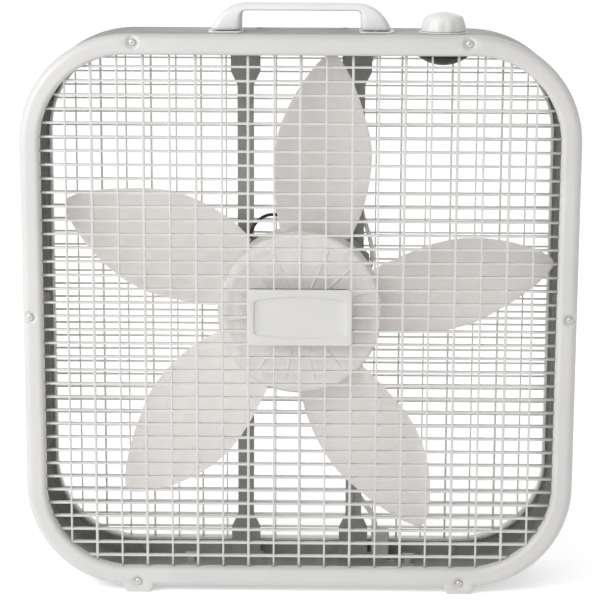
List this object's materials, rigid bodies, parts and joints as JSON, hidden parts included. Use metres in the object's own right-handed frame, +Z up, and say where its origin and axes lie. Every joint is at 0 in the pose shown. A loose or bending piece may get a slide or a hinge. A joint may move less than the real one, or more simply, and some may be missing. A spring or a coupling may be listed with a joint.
{
  "type": "box fan",
  "caption": "Square box fan with rounded corners, bar grilles front and rear, petal-bladed rotor on a strut-mounted motor, top handle and rotary speed knob.",
  "frame": {"origin": "on the ground, under the middle of the fan", "axes": "+Z up, -Y out of the front grille (the air outlet), +X to the right seen from the front"},
  "size_m": [0.532, 0.1128, 0.573],
  "materials": {
    "grey_paint": "satin dark grey paint on sheet steel",
    "zinc_steel": "zinc-plated sheet steel",
    "white_plastic": "off-white moulded plastic",
    "ivory_plastic": "ivory moulded plastic",
    "blade_plastic": "warm grey-white moulded plastic",
    "black_plastic": "black moulded plastic",
    "cast_aluminium": "die-cast",
    "lamination_steel": "stacked laminations",
    "copper_wire": "enamelled copper wire",
    "bronze": "plain",
    "felt": "oiled felt",
    "white_lead": "flexible insulation",
    "black_lead": "flexible insulation",
    "nylon": "natural nylon",
    "black_rubber": "matt",
    "bright_steel": "nickel-plated steel"
  },
  "bodies": {
    "housing": {"bearing_retainers": "bright_steel", "capacitor": "black_plastic", "capacitor_lead": "black_lead", "capacitor_strap": "bright_steel", "cord_clamp": "white_plastic", "cord_clamp_base": "zinc_steel", "cord_clamp_screw": "bright_steel", "foot_left": "white_plastic", "foot_right": "white_plastic", "front_bearing": "bronze", "front_grille": "white_plastic", "front_grille_screws": "bright_steel", "handle": "white_plastic", "handle_pads": "white_plastic", "handle_screws": "bright_steel", "housing_band": "grey_paint", "lead_ties": "nylon", "left_strut": "grey_paint", "motor_front_bell": "cast_aluminium", "motor_lead": "white_lead", "motor_lug_nuts": "bright_steel", "motor_lug_screws": "bright_steel", "motor_mount_plate": "zinc_steel", "motor_rear_bell": "cast_aluminium", "motor_through_bolts": "bright_steel", "motor_through_nuts": "bright_steel", "mount_plate_screws": "bright_steel", "mount_spacers": "black_rubber", "oil_wicks": "felt", "rear_bearing": "bronze", "rear_grille": "ivory_plastic", "rear_grille_screws": "bright_steel", "right_strut": "grey_paint", "speed_clips": "bright_steel", "stator_coils": "copper_wire", "stator_core": "lamination_steel", "strut_screws": "bright_steel", "supply_lead": "white_lead", "switch_body": "black_plastic", "switch_cup": "black_plastic", "switch_escutcheon": "white_plastic", "switch_terminals": "bronze", "thermal_fuse": "bright_steel"},
    "fan_rotor": {"fan_blade": "blade_plastic", "motor_shaft": "bright_steel", "rotor_core": "lamination_steel", "rotor_end_rings": "cast_aluminium", "thrust_spacers": "nylon", "hub_clamp_ring": "bright_steel"},
    "knob": {"knob": "white_plastic", "switch_spindle": "bright_steel", "knob_spring": "bright_steel"}
  },
  "joints": [
    {"name": "fan_spin", "type": "hinge", "parent": "housing", "child": "fan_rotor", "pos_m": [0, 0, 0.276], "axis": [0, 1, 0], "continuous": true},
    {"name": "knob_turn", "type": "hinge", "parent": "housing", "child": "knob", "pos_m": [0.136, 0, 0.55], "axis": [0, 0, -1], "range_deg": [0, 270]}
  ]
}
